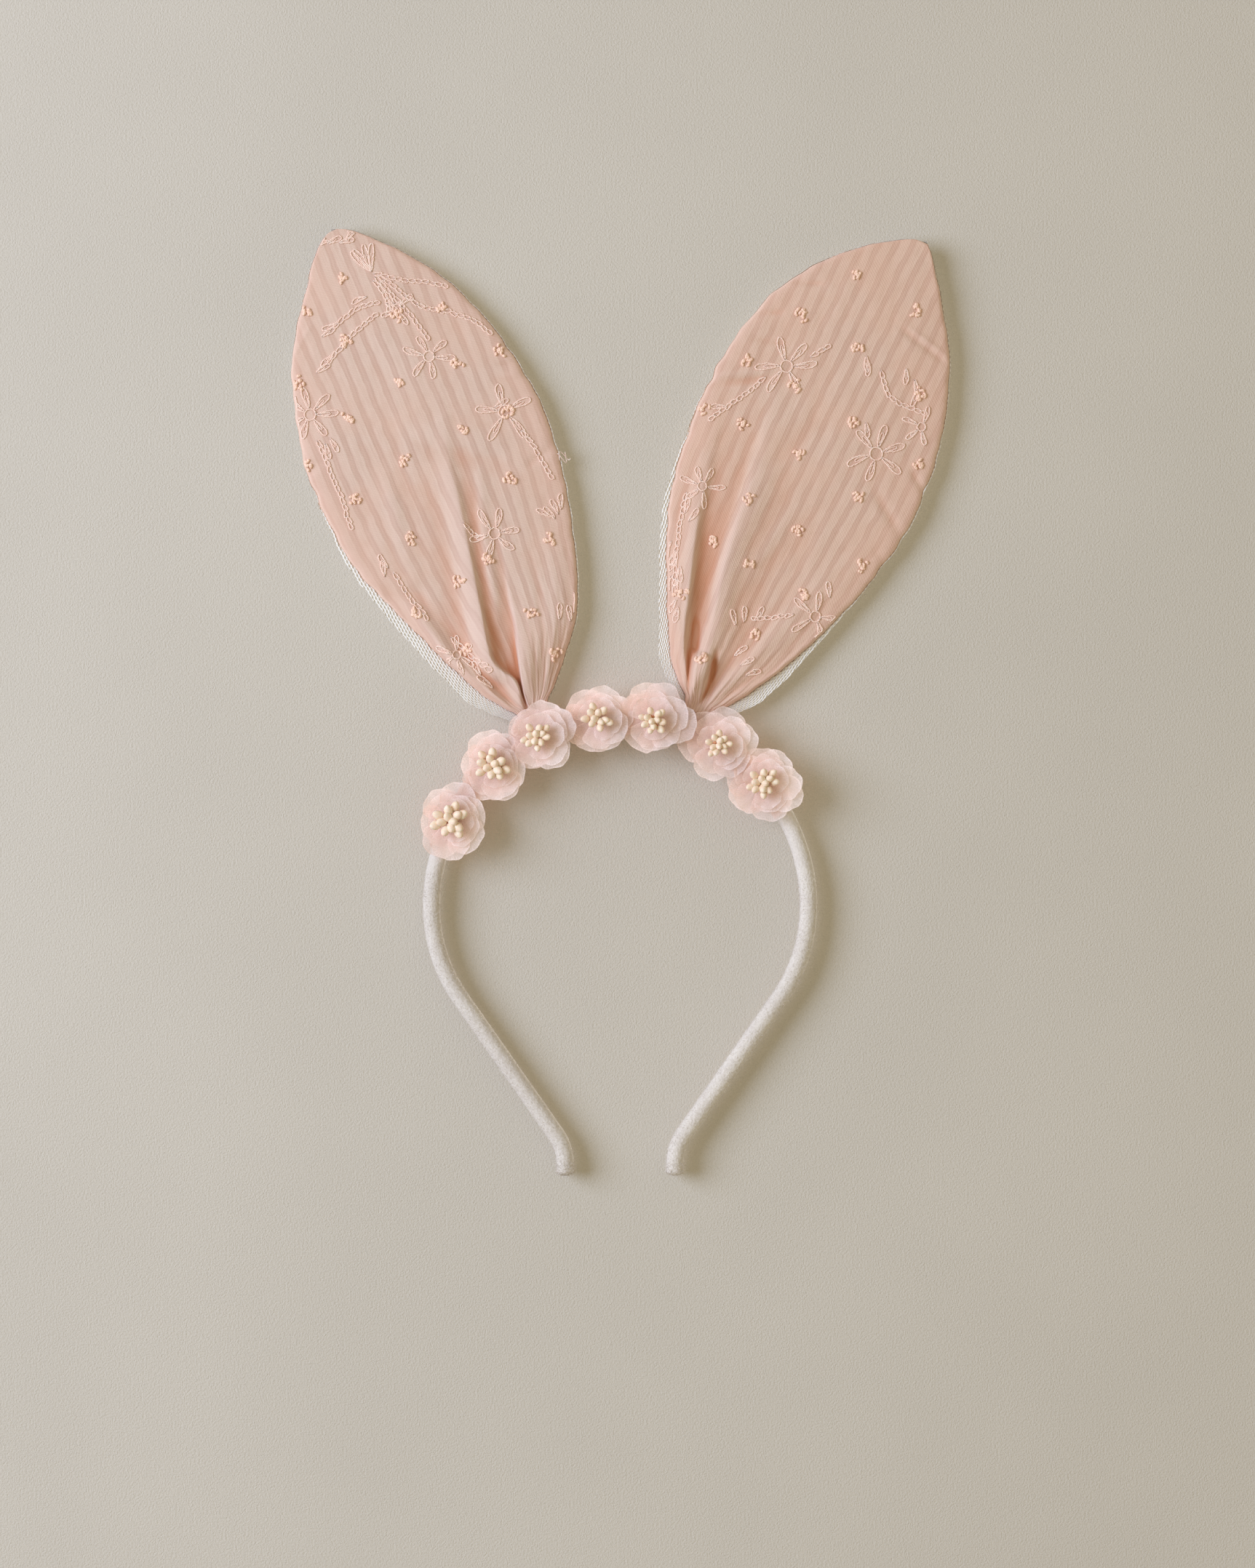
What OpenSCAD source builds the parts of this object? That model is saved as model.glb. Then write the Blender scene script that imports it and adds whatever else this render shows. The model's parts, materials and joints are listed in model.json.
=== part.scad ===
// Headband with two tall animal ears and a row of small chiffon flowers.
// Upright as worn: +Z up, +X to the right seen from the front, front faces -Y.
// The origin is the inner top of the band, where it sits on the head.

/* [Band] */
// Radius of the crown, to the middle of the band
crown_r = 60; // [58:1:66]
// Radius of the lower shoulders
shoulder_r = 51; // [49:1:53]
// Length of the straight stretch of each arm
arm_straight = 53; // [45:1:56]
// Thickness of the velvet-covered band, measured outwards from the head
band_t = 5.4; // [5:0.2:6]
// Width of the velvet-covered band, front to back
band_w = 7; // [6.4:0.2:8]
// Thickness of the springy core strip
core_t = 2.4; // [2:0.1:2.6]
// Width of the springy core strip
core_w = 4.4; // [4:0.1:4.8]

/* [Ears] */
// Length of the left ear from its hinge line to its tip
left_ear_l = 168; // [150:1:180]
// Length of the right ear from its hinge line to its tip
right_ear_l = 167; // [150:1:180]
// Outward lean of the left ear
left_lean = 22.7; // [20:0.1:26]
// Outward lean of the right ear
right_lean = 26; // [23:0.1:29]
// Thickness of each ear's fabric panels
panel_t = 1; // [0.8:0.1:1.2]
// Thickness of the stiffener between the panels
stiffener_t = 2; // [1.6:0.1:2.2]
// Diameter of the wire that runs round inside each ear
wire_d = 1.4; // [1:0.1:1.6]

/* [Flowers] */
// Radius of the outer ring of petals
flower_r = 10.6; // [9:0.2:10.6]
// Radius of the inner ring of petals
inner_r = 6; // [5:0.2:6]
// Number of stamens in each flower
stamens = 12; // [8:2:14]
// Radius of a stamen's pip
pip_r = 0.9; // [0.7:0.1:0.95]

/* [Hidden] */
$fn = 48;

// Colours
velvet = [0.86, 0.83, 0.8];
cotton = [0.84, 0.69, 0.61];
knit = [0.87, 0.84, 0.81];
chiffon = [0.88, 0.75, 0.72];
cream = [0.93, 0.86, 0.74];
steel = [0.6, 0.61, 0.63];
felt = [0.9, 0.8, 0.76];

// Band: the section is a stadium, round on the inner and outer faces.
fit_gap = 0.05;
centre_z = -(crown_r - band_t / 2);
shoulder_deg = 35;
shoulder_x = crown_r - shoulder_r;
tip_r = 16;
tip_turn = 33;
tip_l = 3;
seal_l = 1.4;
lap = 0.3;
lap_skin = 0.04;

// Knuckle that ends the crown, and the clearance of the arm round it
knuckle_grow = 0.05;
knuckle_gap = 0.1;
knuckle_stub = 4;

// Ribbon over the crown, and the thread-bound roll at the base of each ear
ribbon_t = 0.4;
ribbon_from = -70;
ribbon_to = 57;
roll_r = 2.3;
roll_l = 13;
pin_r = 0.5;
pin_gap = 0.05;
roll_gap = 0.3;
loop_t = 0.4;
loop_gap = 0.15;
loop_w = 0.8;
loop_at = 7.5;
hinge_r = crown_r + band_t / 2 + fit_gap + ribbon_t + roll_gap + roll_r;
left_base = -24;
right_base = 21.5;

// Ears: control points of each outline, [across, share of the ear's length]
left_outline = [
    [-6.5, 0.025], [-15, 0.1], [-24.5, 0.235], [-34, 0.375], [-37.5, 0.54], [-35, 0.67],
    [-27.5, 0.805], [-14.5, 0.92], [-4, 0.99], [4, 0.993], [16, 0.925], [28.5, 0.82],
    [37.5, 0.665], [40, 0.53], [37.5, 0.395], [32, 0.265], [25, 0.155], [15, 0.08], [6.5, 0.025]
];
right_outline = [
    [-6.5, 0.025], [-15.5, 0.08], [-25, 0.185], [-36.5, 0.33], [-42, 0.5], [-42, 0.65],
    [-37, 0.78], [-26, 0.89], [-12, 0.965], [-1, 0.999], [6, 0.965], [14, 0.9],
    [24, 0.81], [32.5, 0.66], [35, 0.5], [30.5, 0.345], [22, 0.195], [14, 0.095], [6.5, 0.025]
];
outline_steps = 4;
knit_margin = 1.2;
stiffener_inset = 4.5;
wire_inset = 2.4;
front_y = stiffener_t / 2 + 0.2 + panel_t;
stiffener_from = 12;
tab_w = 6;

// Flowers: angle on the crown, and how far each stands forward of its neighbours
flower_deg = [-63, -42, -26, -7, 10, 31, 49];
flower_lift = [0, 0, 1, 0, 1, 0, 1];
lobes = 6;
backing_r = 4;
backing_t = 0.8;
dab_r = 1.5;
dab_y = band_w / 2 + fit_gap + ribbon_t + fit_gap;
backing_y = dab_y + 0.6;
petal_t = 0.8;

// A point on a Catmull-Rom curve through p1 and p2, and the whole curve
function spline(p0, p1, p2, p3, t) = 0.5 * (2 * p1 + (p2 - p0) * t
    + (2 * p0 - 5 * p1 + 4 * p2 - p3) * t * t + (3 * p1 - p0 - 3 * p2 + p3) * t * t * t);
function at(p, i) = p[max(0, min(len(p) - 1, i))];
function curve(p, n) = concat(
    [for (i = [0:len(p) - 2], k = [0:n - 1])
        spline(at(p, i - 1), p[i], p[i + 1], at(p, i + 2), k / n)],
    [p[len(p) - 1]]);
function scaled(p, l) = [for (q = p) [q[0], q[1] * l]];

// The outline moved inwards by d, with its points taken clockwise seen from the front
function unit(v) = v / norm(v);
function turned(v) = [v[1], -v[0]];
function inset(p, d) = [for (i = [0:len(p) - 1])
    p[i] + d * turned(unit(at(p, i + 1) - at(p, i - 1)))];

// Places
module at_crown(deg, r) {
    translate([0, 0, centre_z]) rotate([0, deg, 0]) translate([0, 0, r]) children();
}
module at_ear(deg, lean) {
    translate([hinge_r * sin(deg), 0, centre_z + hinge_r * cos(deg)])
        rotate([0, lean, 0]) children();
}

// A flat shape drawn as (across, up), seen from the front, with its back at y
module plate(y, t) {
    translate([0, y, 0]) rotate([90, 0, 0]) linear_extrude(t) children();
}

module stadium(t, w) {
    square([t, w - t], center = true);
    for (s = [-1, 1]) translate([0, s * (w - t) / 2]) circle(d = t);
}

// A stretch of band in the XZ plane that turns about [0, 0, 0] with radius r,
// from one angle to the next, both counted from +Z towards +X
module bend(r, from, to) {
    rotate([0, from, 0]) rotate([90, 0, 0]) rotate([0, 0, 90 - (to - from)])
        rotate_extrude(angle = to - from, $fn = 96) translate([r, 0]) children();
}

// A rounded knuckle about the flex line, for a band of section t by w
module knuckle(t, w) {
    translate([crown_r, 0, centre_z]) rotate([90, 0, 0]) rotate_extrude($fn = 96)
        intersection() {
            stadium(t, w);
            translate([0, -w]) square([t, 2 * w]);
        }
}

// The crown, rounded like a knuckle where it ends just past each flex line
module crown_piece() {
    reach = 90 + knuckle_stub;
    cut = crown_r * 0.3;
    difference() {
        translate([0, 0, centre_z]) bend(crown_r, -reach, reach) children();
        for (side = [0, 1]) mirror([side, 0, 0]) difference() {
            translate([crown_r - cut / 2, -cut / 2, centre_z - cut]) cube(cut);
            knuckle(band_t + 2 * knuckle_grow, band_w + 2 * knuckle_grow);
        }
    }
}

// Right arm: shoulder, straight stretch, and the tip that turns back to vertical
// A straight stretch of band that leaves along +X, with its ends let into its neighbours
module straight(l, t, w) {
    translate([-lap, 0, 0]) rotate([90, 0, 90]) linear_extrude(l + 2 * lap)
        rotate(90) stadium(t + lap_skin, w + lap_skin);
}
// Puts children where the straight stretch starts, leaving along +X
module at_shoulder_end() {
    translate([shoulder_x, 0, centre_z]) rotate([0, 90 + shoulder_deg, 0])
        translate([0, 0, shoulder_r]) children();
}
// Puts children at the centre that the tip turns about, and where that turn ends
module at_tip_turn() {
    at_shoulder_end() translate([arm_straight, 0, tip_r]) children();
}
module at_tip() {
    at_tip_turn() rotate([0, -tip_turn, 0]) translate([0, 0, -tip_r]) children();
}
module arm_solid(t, w, past_tip = 0) {
    translate([shoulder_x, 0, centre_z]) bend(shoulder_r, 90, 90 + shoulder_deg) stadium(t, w);
    at_shoulder_end() straight(arm_straight, t, w);
    at_tip_turn() bend(tip_r, 180 - tip_turn, 180) stadium(t, w);
    at_tip() straight(tip_l - lap + past_tip, t, w);
}
module arm_knuckle() {
    grow = 2 * (knuckle_grow + knuckle_gap);
    knuckle(band_t + grow, band_w + grow);
}

module crown_core() {
    color("white") crown_piece() stadium(core_t, core_w);
}
module crown_cover() {
    color(velvet) crown_piece() difference() {
        stadium(band_t, band_w);
        stadium(core_t + 2 * fit_gap, core_w + 2 * fit_gap);
    }
}
module arm_core(side) {
    color("white") mirror([side, 0, 0]) difference() {
        arm_solid(core_t, core_w, -seal_l);
        arm_knuckle();
    }
}
module arm_cover(side) {
    color(velvet) mirror([side, 0, 0]) difference() {
        arm_solid(band_t, band_w);
        arm_solid(core_t + 2 * fit_gap, core_w + 2 * fit_gap, 1);
        arm_knuckle();
    }
}

// The velvet turned in and glued over the end of the core
module tip_seal(side) {
    color(velvet) mirror([side, 0, 0]) at_tip() translate([tip_l - seal_l + fit_gap, 0, 0])
        rotate([90, 0, 90]) linear_extrude(seal_l) rotate(90) stadium(core_t, core_w);
}

module garland_ribbon() {
    inner = fit_gap * 2;
    color(chiffon) translate([0, 0, centre_z]) bend(crown_r, ribbon_from, ribbon_to)
        difference() {
            stadium(band_t + inner + 2 * ribbon_t, band_w + inner + 2 * ribbon_t);
            stadium(band_t + inner, band_w + inner);
        }
}

// Binding wire: a pin through the ear's roll, and a loop round the band at each end
module loop_shape(grow) {
    t = band_t + 2 * (fit_gap + ribbon_t + loop_gap + grow);
    w = band_w + 2 * (fit_gap + ribbon_t + loop_gap + grow);
    band_down = hinge_r - sqrt(crown_r * crown_r - loop_at * loop_at);
    circle(pin_r + grow);
    translate([0, -band_down]) rotate(90) stadium(t, w);
    polygon([[-pin_r - grow, 0], [pin_r + grow, 0],
        [w / 2 - 0.3, -band_down + 1], [-w / 2 + 0.3, -band_down + 1]]);
}
module ear_tie(deg) {
    color(steel) at_crown(deg, hinge_r) {
        rotate([0, 90, 0]) cylinder(r = pin_r, h = 2 * loop_at + loop_w, center = true);
        for (s = [-1, 1]) translate([s * loop_at - loop_w / 2, 0, 0])
            rotate([90, 0, 90]) linear_extrude(loop_w) difference() {
                loop_shape(loop_t);
                loop_shape(0);
            }
    }
}

// Ears. side is 0 for the left ear and 1 for the right.
function ear_deg(side) = side == 0 ? left_base : right_base;
function ear_lean(side) = side == 0 ? -left_lean : right_lean;
function ear_l(side) = side == 0 ? left_ear_l : right_ear_l;

// The gathered base of an ear, bound into a roll, with a tab up to the stiffener
module ear_roll(side) {
    color(cotton) difference() {
        union() {
            at_crown(ear_deg(side), hinge_r) rotate([0, 90, 0])
                cylinder(r = roll_r, h = roll_l, center = true);
            at_ear(ear_deg(side), ear_lean(side)) plate(stiffener_t / 2, stiffener_t)
                translate([-tab_w / 2, 0]) square([tab_w, stiffener_from - fit_gap]);
        }
        at_crown(ear_deg(side), hinge_r) rotate([0, 90, 0])
            cylinder(r = pin_r + pin_gap, h = roll_l + 2, center = true);
    }
}

function ear_edge(side) = curve(
    scaled(side == 0 ? left_outline : right_outline, ear_l(side)), outline_steps);

// Gathered folds above the base: each is [start, end, start radius, end radius]
fold_y = 1.4;
left_folds = [[[3, 9], [-7, 42], 1.6, 3.2], [[9, 13], [17, 46], 1.5, 2.6]];
right_folds = [[[-4, 9], [-17, 44], 1.6, 3], [[4, 9], [2, 48], 1.5, 2.8]];
module fold(f) {
    run = f[1] - f[0];
    translate([f[0][0], 0, f[0][1]]) rotate([0, atan2(run[0], run[1]), 0]) {
        cylinder(r1 = f[2], r2 = f[3], h = norm(run));
        translate([0, 0, norm(run)]) sphere(f[3]);
        sphere(f[2]);
    }
}

module ear_front(side) {
    color(cotton) at_ear(ear_deg(side), ear_lean(side)) {
        plate(-front_y + panel_t, panel_t) polygon(ear_edge(side));
        intersection() {
            translate([0, -fold_y, 0])
                for (f = side == 0 ? left_folds : right_folds) fold(f);
            translate([-60, -20, 0]) cube([120, 20 - front_y + panel_t / 2, 100]);
        }
    }
}
module ear_back(side) {
    color(knit) at_ear(ear_deg(side), ear_lean(side))
        plate(front_y, panel_t) polygon(inset(ear_edge(side), -knit_margin));
}
module ear_stiffener(side) {
    color("white") at_ear(ear_deg(side), ear_lean(side))
        plate(stiffener_t / 2, stiffener_t) intersection() {
            polygon(inset(ear_edge(side), stiffener_inset));
            translate([-60, stiffener_from]) square([120, 200]);
        }
}

// A round wire of radius r along a flat path, seen from the front
module flat_wire(path, r) {
    sides = 8;
    n = len(path);
    rings = [for (i = [0:n - 1], k = [0:sides - 1])
        let (side = turned(unit(at(path, i + 1) - at(path, i - 1))))
        let (out = r * cos(360 * k / sides))
        [path[i][0] + side[0] * out, r * sin(360 * k / sides), path[i][1] + side[1] * out]];
    walls = [for (i = [0:n - 2], k = [0:sides - 1])
        let (a = i * sides + k)
        let (b = i * sides + (k + 1) % sides)
        [a, b, b + sides, a + sides]];
    ends = [[for (k = [sides - 1:-1:0]) k], [for (k = [0:sides - 1]) (n - 1) * sides + k]];
    polyhedron(rings, concat(walls, ends));
}
module ear_wire(side) {
    color(steel) at_ear(ear_deg(side), ear_lean(side))
        flat_wire(inset(ear_edge(side), wire_inset), wire_d / 2);
}

// Flowers, counted from 0 at the left. Each faces the front, on a felt disc.
module at_flower(i) {
    at_crown(flower_deg[i], crown_r) children();
}
module flower_backing(i) {
    lift = flower_lift[i];
    color(felt) at_flower(i) {
        plate(-dab_y, backing_y - dab_y + lift) circle(dab_r);
        plate(-backing_y - lift, backing_t) circle(backing_r);
    }
}
outer_y = backing_y + backing_t + fit_gap;
inner_y = outer_y + petal_t + fit_gap;
knot_y = inner_y + petal_t + fit_gap;
module petals(r, turn) {
    lobe = 0.42 * r;
    circle(r * 0.62);
    for (k = [0:lobes - 1]) rotate(turn + 360 * k / lobes) translate([r - lobe, 0]) circle(lobe);
}
module outer_petals(i) {
    color(chiffon) at_flower(i)
        plate(-outer_y - flower_lift[i], petal_t) petals(flower_r, 37 * i);
}
module inner_petals(i) {
    color(chiffon) at_flower(i)
        plate(-inner_y - flower_lift[i], petal_t) petals(inner_r, 37 * i + 30);
}

knot_r = 1.8;
knot_t = 0.8;
stem_r = 0.25;
pip_ring = 3.5;
pip_inner = 1.5;
pip_h = 3.2;
module stamen(deg, ring, h) {
    reach = ring - 0.9;
    rotate([0, 0, deg]) translate([0.9, 0, 0]) {
        rotate([0, atan2(reach, h), 0]) cylinder(r = stem_r, h = norm([reach, h]));
        translate([reach, 0, h]) sphere(pip_r);
    }
}
module flower_stamens(i) {
    few = round(stamens / 3);
    many = stamens - few;
    color(cream) at_flower(i) translate([0, -knot_y - flower_lift[i], 0]) rotate([90, 0, 0]) {
        cylinder(r = knot_r, h = knot_t);
        for (k = [0:many - 1]) stamen(360 * k / many + 23 * i, pip_ring, pip_h);
        for (k = [0:few - 1]) stamen(360 * k / few + 23 * i, pip_inner, pip_h + 1);
    }
}

crown_core();
arm_core(1);  // left_arm_core
arm_core(0);  // right_arm_core
crown_cover();
arm_cover(1);  // left_arm_cover
arm_cover(0);  // right_arm_cover
tip_seal(1);  // left_tip_seal
tip_seal(0);  // right_tip_seal
garland_ribbon();
ear_tie(left_base);  // left_ear_tie
ear_tie(right_base);  // right_ear_tie
ear_roll(0);  // left_ear_roll
ear_roll(1);  // right_ear_roll
ear_front(0);  // left_ear_front
ear_front(1);  // right_ear_front
ear_back(0);  // left_ear_back
ear_back(1);  // right_ear_back
ear_stiffener(0);  // left_ear_stiffener
ear_stiffener(1);  // right_ear_stiffener
ear_wire(0);  // left_ear_wire
ear_wire(1);  // right_ear_wire
for (i = [0:len(flower_deg) - 1]) {
    flower_backing(i);
    outer_petals(i);
    inner_petals(i);
    flower_stamens(i);
}
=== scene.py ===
import json
from math import atan2, cos, hypot, pi, radians, sin, sqrt, tau

import bpy
import numpy as np
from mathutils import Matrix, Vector


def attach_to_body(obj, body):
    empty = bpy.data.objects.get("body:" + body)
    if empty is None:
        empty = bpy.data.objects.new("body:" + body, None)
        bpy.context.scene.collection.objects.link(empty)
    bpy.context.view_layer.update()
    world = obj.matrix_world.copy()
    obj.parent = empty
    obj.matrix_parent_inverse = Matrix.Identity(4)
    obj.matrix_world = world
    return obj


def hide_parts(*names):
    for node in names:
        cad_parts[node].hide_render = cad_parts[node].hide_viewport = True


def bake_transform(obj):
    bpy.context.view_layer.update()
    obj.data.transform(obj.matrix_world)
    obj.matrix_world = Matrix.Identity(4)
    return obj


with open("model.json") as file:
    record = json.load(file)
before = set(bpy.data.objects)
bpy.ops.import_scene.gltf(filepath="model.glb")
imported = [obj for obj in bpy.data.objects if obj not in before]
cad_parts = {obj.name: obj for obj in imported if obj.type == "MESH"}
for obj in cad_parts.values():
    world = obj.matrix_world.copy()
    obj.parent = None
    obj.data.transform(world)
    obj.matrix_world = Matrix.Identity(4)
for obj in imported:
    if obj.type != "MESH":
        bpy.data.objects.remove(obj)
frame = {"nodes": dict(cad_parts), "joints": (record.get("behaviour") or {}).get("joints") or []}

MM = 0.001
FRONT = np.array([0, -1.0, 0])
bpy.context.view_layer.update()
joints = {j["name"]: j for j in frame["joints"]}

# ---------------------------------------------------------------- camera

scene = bpy.context.scene
cam_data = bpy.data.cameras.new("camera")
cam_data.lens = 93.7
cam_data.sensor_width = 36
cam_data.clip_end = 20
camera = bpy.data.objects.new("camera", cam_data)
camera.location = (0.0024, -1.3, -0.0184)
camera.rotation_euler = (radians(90), 0, 0)
scene.collection.objects.link(camera)
scene.camera = camera
scene.view_settings.view_transform = "Standard"

# ---------------------------------------------------------------- numbers


def hermite(x, points, column=1):
    """A smooth curve through points, each (x, value, ...), held level past its ends."""
    xs = np.array([p[0] for p in points], float)
    ys = np.array([p[column] for p in points], float)
    slope = np.gradient(ys, xs)
    x = np.clip(x, xs[0], xs[-1])
    i = np.clip(np.searchsorted(xs, x) - 1, 0, len(xs) - 2)
    h = xs[i + 1] - xs[i]
    t = (x - xs[i]) / h
    return ((2 * t**3 - 3 * t**2 + 1) * ys[i] + (t**3 - 2 * t**2 + t) * h * slope[i]
            + (3 * t**2 - 2 * t**3) * ys[i + 1] + (t**3 - t**2) * h * slope[i + 1])


def step(x, a, b):
    """Rises smoothly from 0 at a to 1 at b."""
    t = np.clip((x - a) / (b - a), 0, 1)
    return t * t * (3 - 2 * t)


def waves(x, y, seed, count=5, rough=0.7):
    """Smooth seeded noise of about -1 to 1, for x and y in units of its coarsest bumps."""
    rng = np.random.default_rng(seed)
    total, size, scale = 0.0, 0.0, 1.0
    for _ in range(count):
        for _ in range(3):
            a, p = rng.uniform(0, tau, 2)
            ahead = x * cos(a) + y * sin(a)
            total = total + scale * np.sin(tau * ahead / scale**0.9 + p)
        size += scale * 1.7
        scale *= rough
    return total / size


def circle(count):
    return np.linspace(0, tau, count, endpoint=False)


def unit(vectors):
    return vectors / np.maximum(np.linalg.norm(vectors, axis=-1, keepdims=True), 1e-9)


def distances(path):
    """How far along a path each of its points lies."""
    return np.concatenate([[0], np.cumsum(np.linalg.norm(np.diff(path, axis=0), axis=1))])


# ---------------------------------------------------------------- meshes


def mesh_object(name, verts, faces, uv=None, attrs=None, material=None, smooth=True):
    """verts in mm, uv and attrs one value per vertex."""
    mesh = bpy.data.meshes.new(name)
    verts = np.asarray(verts, float).reshape(-1, 3) * MM
    mesh.from_pydata(verts.tolist(), [], [list(map(int, f)) for f in faces])
    if uv is not None:
        layer = mesh.uv_layers.new(name="UVMap")
        loops = np.zeros(len(mesh.loops), np.int32)
        mesh.loops.foreach_get("vertex_index", loops)
        layer.data.foreach_set("uv", np.asarray(uv, float).reshape(-1, 2)[loops].ravel())
    for key, values in (attrs or {}).items():
        attribute = mesh.attributes.new(key, "FLOAT", "POINT")
        attribute.data.foreach_set("value", np.asarray(values, float).ravel())
    if smooth:
        mesh.polygons.foreach_set("use_smooth", [True] * len(mesh.polygons))
    mesh.update()
    obj = bpy.data.objects.new(name, mesh)
    scene.collection.objects.link(obj)
    if material:
        mesh.materials.append(material)
    return obj


def grid_faces(rows, cols, wrap=False):
    i, j = np.meshgrid(np.arange(rows - 1), np.arange(cols if wrap else cols - 1), indexing="ij")
    a = i * cols + j
    b = i * cols + (j + 1) % cols
    return np.stack([a, b, b + cols, a + cols], -1).reshape(-1, 4).tolist()


def end_caps(rows, cols):
    return [list(range(cols))[::-1], [(rows - 1) * cols + k for k in range(cols)]]


def attach(obj, body, slot, *nodes):
    """Ties a piece to its body, and hides the nodes it stands for."""
    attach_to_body(obj, body)
    if nodes:
        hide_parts(*nodes)


class Bag:
    """Many small meshes gathered into one piece."""

    def __init__(self):
        self.verts, self.faces, self.values, self.uv = [], [], [], []
        self.count = 0

    def add(self, verts, faces, value=0.0, uv=None):
        verts = np.asarray(verts, float).reshape(-1, 3)
        self.faces += [[k + self.count for k in f] for f in faces]
        self.verts.append(verts)
        self.values.append(np.broadcast_to(np.asarray(value, float), (len(verts),)))
        self.uv.append(np.zeros((len(verts), 2)) if uv is None else np.asarray(uv, float).reshape(-1, 2))
        self.count += len(verts)

    def tube(self, path, radius, sides=6, closed=False, value=0.0):
        path = np.asarray(path, float)
        n = len(path)
        radius = np.broadcast_to(np.asarray(radius, float), (n,))
        ahead = np.roll(path, -1, 0) - np.roll(path, 1, 0) if closed else np.gradient(path, axis=0)
        ahead = unit(ahead)
        side = unit(np.cross(ahead, np.array([0.13, -1.0, 0.21])))
        up = np.cross(side, ahead)
        a = circle(sides)
        ring = (path[:, None] + radius[:, None, None]
                * (np.cos(a)[None, :, None] * side[:, None] + np.sin(a)[None, :, None] * up[:, None]))
        faces = grid_faces(n, sides, wrap=True)
        if closed:
            last = (n - 1) * sides
            faces += [[last + k, last + (k + 1) % sides, (k + 1) % sides, k] for k in range(sides)]
        else:
            faces += end_caps(n, sides)
        uv = np.stack(np.broadcast_arrays(a[None, :] / tau, distances(path)[:, None] / 100), -1)
        self.add(ring, faces, value, uv)

    def build(self, name, material, key="shade"):
        return mesh_object(name, np.concatenate(self.verts), self.faces, np.concatenate(self.uv),
                           {key: np.concatenate(self.values)}, material)


# ---------------------------------------------------------------- materials


class Shader:
    """A material, and short names for the nodes that it is built from."""

    def __init__(self, name):
        self.material = bpy.data.materials.new(name)
        self.material.use_nodes = True
        self.tree = self.material.node_tree
        self.tree.nodes.clear()
        self.out = self.tree.nodes.new("ShaderNodeOutputMaterial")

    def put(self, socket, value):
        if isinstance(value, bpy.types.NodeSocket):
            self.tree.links.new(value, socket)
        elif isinstance(value, tuple) and socket.type == "RGBA":
            socket.default_value = (*value, 1)
        else:
            socket.default_value = value

    def node(self, kind, inputs=None, **settings):
        n = self.tree.nodes.new("ShaderNode" + kind)
        for key, value in settings.items():
            setattr(n, key, value)
        for key, value in (inputs or {}).items():
            self.put(n.inputs[key], value)
        return n

    def math(self, op, a, b=0.0, c=0.0):
        return self.node("Math", {0: a, 1: b, 2: c}, operation=op).outputs[0]

    def plus(self, a, b):
        return self.math("ADD", a, b)

    def times(self, a, b):
        return self.math("MULTIPLY", a, b)

    def sine(self, a):
        return self.math("SINE", a)

    def stretch(self, vector, factors):
        return self.node("VectorMath", {0: vector, 1: factors}, operation="MULTIPLY").outputs[0]

    def span(self, value, lo, hi, to_lo=0.0, to_hi=1.0):
        return self.node("MapRange", {0: value, 1: lo, 2: hi, 3: to_lo, 4: to_hi},
                         interpolation_type="SMOOTHSTEP").outputs[0]

    def mix(self, factor, a, b, kind="MIX"):
        return self.node("Mix", {0: factor, 6: a, 7: b}, data_type="RGBA", blend_type=kind).outputs[2]

    def tint(self, colour, mask, strength, towards):
        return self.mix(self.times(mask, strength), colour, towards)

    def place(self):
        return self.node("TexCoord").outputs["Object"]

    def noise(self, vector, scale, detail=3.0, roughness=0.55):
        return self.node("TexNoise", {"Vector": vector, "Scale": scale, "Detail": detail,
                                      "Roughness": roughness}).outputs[0]

    def attribute(self, name):
        return self.node("Attribute", attribute_name=name).outputs["Fac"]

    def bump(self, height, distance, strength):
        return self.node("Bump", {"Height": height, "Distance": distance, "Strength": strength}).outputs[0]

    def surface(self, colour, normal, roughness, sheen, specular, more=None):
        return self.node("BsdfPrincipled", {
            "Base Color": colour, "Normal": normal, "Roughness": roughness, "Sheen Weight": sheen,
            "Specular IOR Level": specular, **(more or {})}).outputs[0]

    def through(self, colour, normal):
        return self.node("BsdfTranslucent", {"Color": colour, "Normal": normal}).outputs[0]

    def clear(self):
        return self.node("BsdfTransparent").outputs[0]

    def blend(self, factor, a, b):
        return self.node("MixShader", {0: factor, 1: a, 2: b}).outputs[0]

    def finish(self, shader):
        self.tree.links.new(shader, self.out.inputs[0])
        return self.material


def rgb(r, g, b):
    """An sRGB colour of 0 to 255 as the linear values that shaders take."""
    return tuple(((c / 255 + 0.055) / 1.055) ** 2.4 if c > 10 else c / 3294.6 for c in (r, g, b))


def cloth_coordinates(s):
    """(across, along, both) in mm on the flat cloth."""
    mm = s.stretch(s.node("UVMap").outputs[0], (100.0, 100.0, 100.0))
    parts = s.node("SeparateXYZ", {0: mm})
    return parts.outputs[0], parts.outputs[1], mm


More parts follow.
